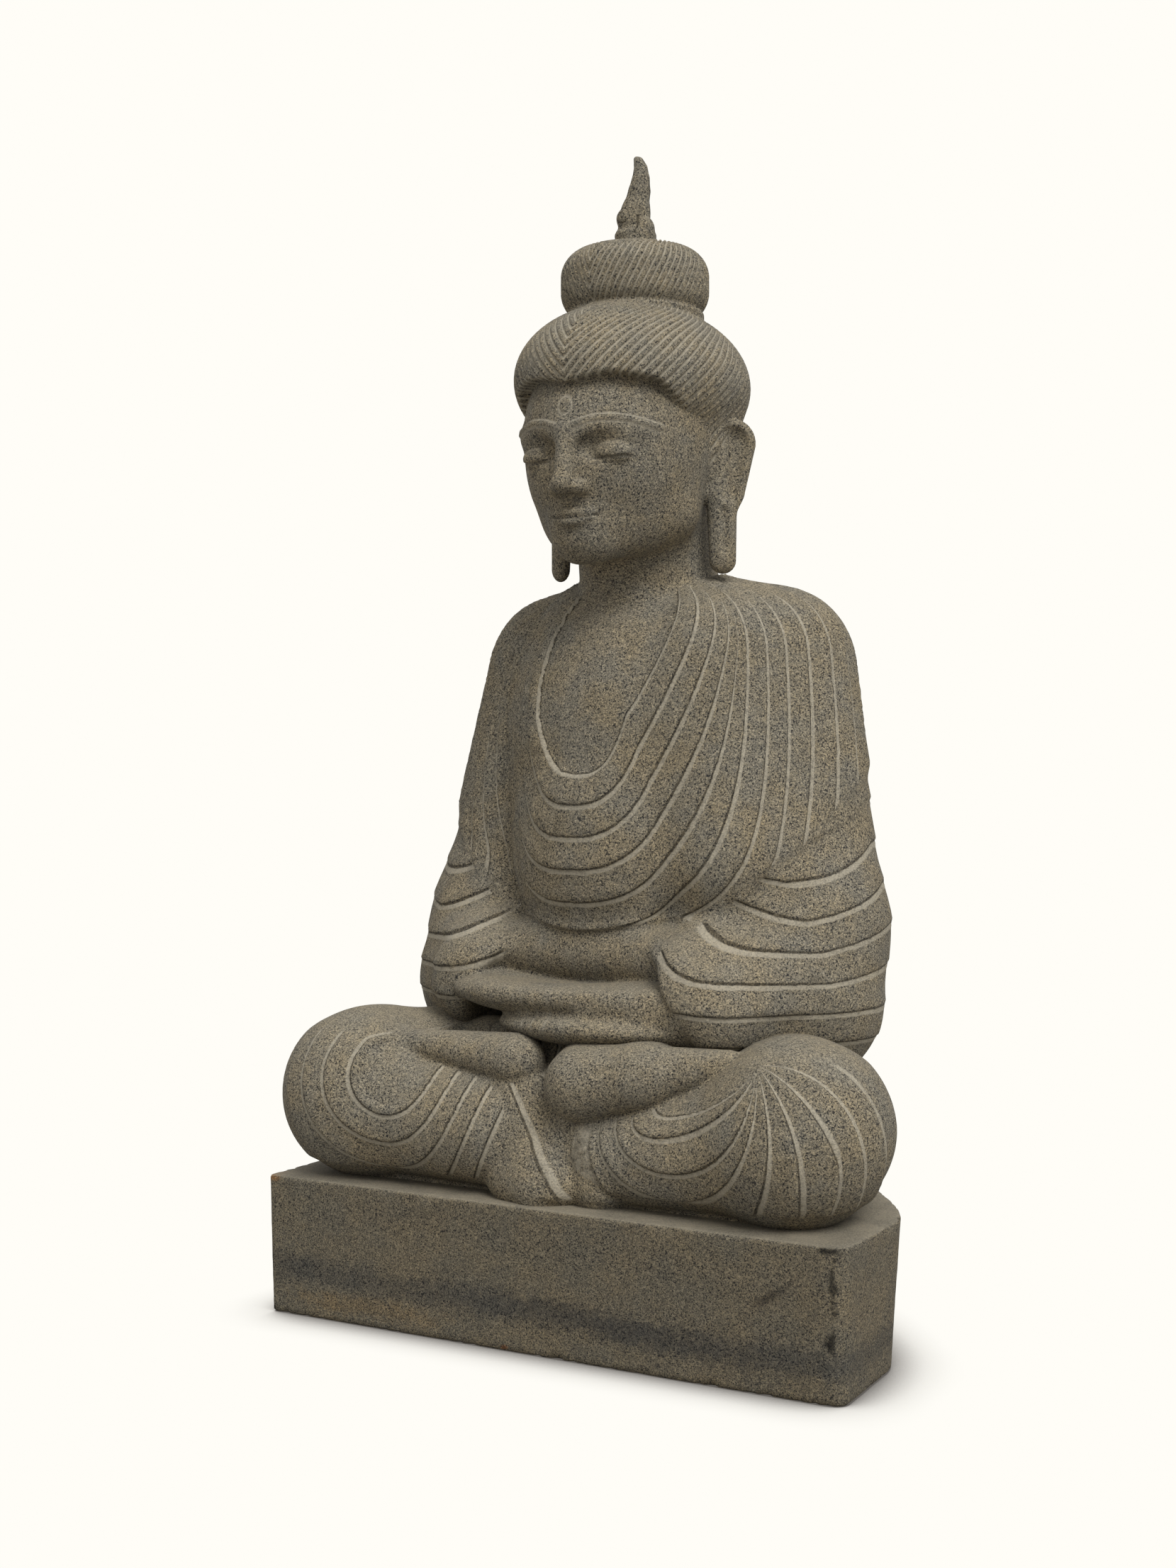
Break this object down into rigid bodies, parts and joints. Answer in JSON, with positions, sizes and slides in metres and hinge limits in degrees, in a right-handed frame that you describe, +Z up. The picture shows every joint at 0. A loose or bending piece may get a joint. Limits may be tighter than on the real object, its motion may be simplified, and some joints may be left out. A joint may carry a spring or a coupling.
{
  "type": "garden statue",
  "caption": "Seated meditating figure carved in grey stone on a block plinth, with a loose flame finial on a hidden dowel.",
  "frame": {"origin": "middle of the plinth's underside, which is the middle of the whole object's footprint", "axes": "+Z up along the object's height; the figure faces -Y; its left hand side is +X"},
  "size_m": [0.5476, 0.302, 1.0143],
  "materials": {
    "grey_stone": "rough carved",
    "steel": "plain"
  },
  "bodies": {
    "statue_block": {"statue_block": "grey_stone"},
    "dowel": {"finial_dowel": "steel"},
    "flame": {"flame_finial": "grey_stone"}
  },
  "joints": [
    {"name": "dowel_lift", "type": "slide", "parent": "statue_block", "child": "dowel", "axis": [0, 0, 1], "range_m": [0, 0.05]},
    {"name": "flame_turn", "type": "hinge", "parent": "dowel", "child": "flame", "pos_m": [0, 0.022, 0.945], "axis": [0, 0, 1], "continuous": true}
  ]
}
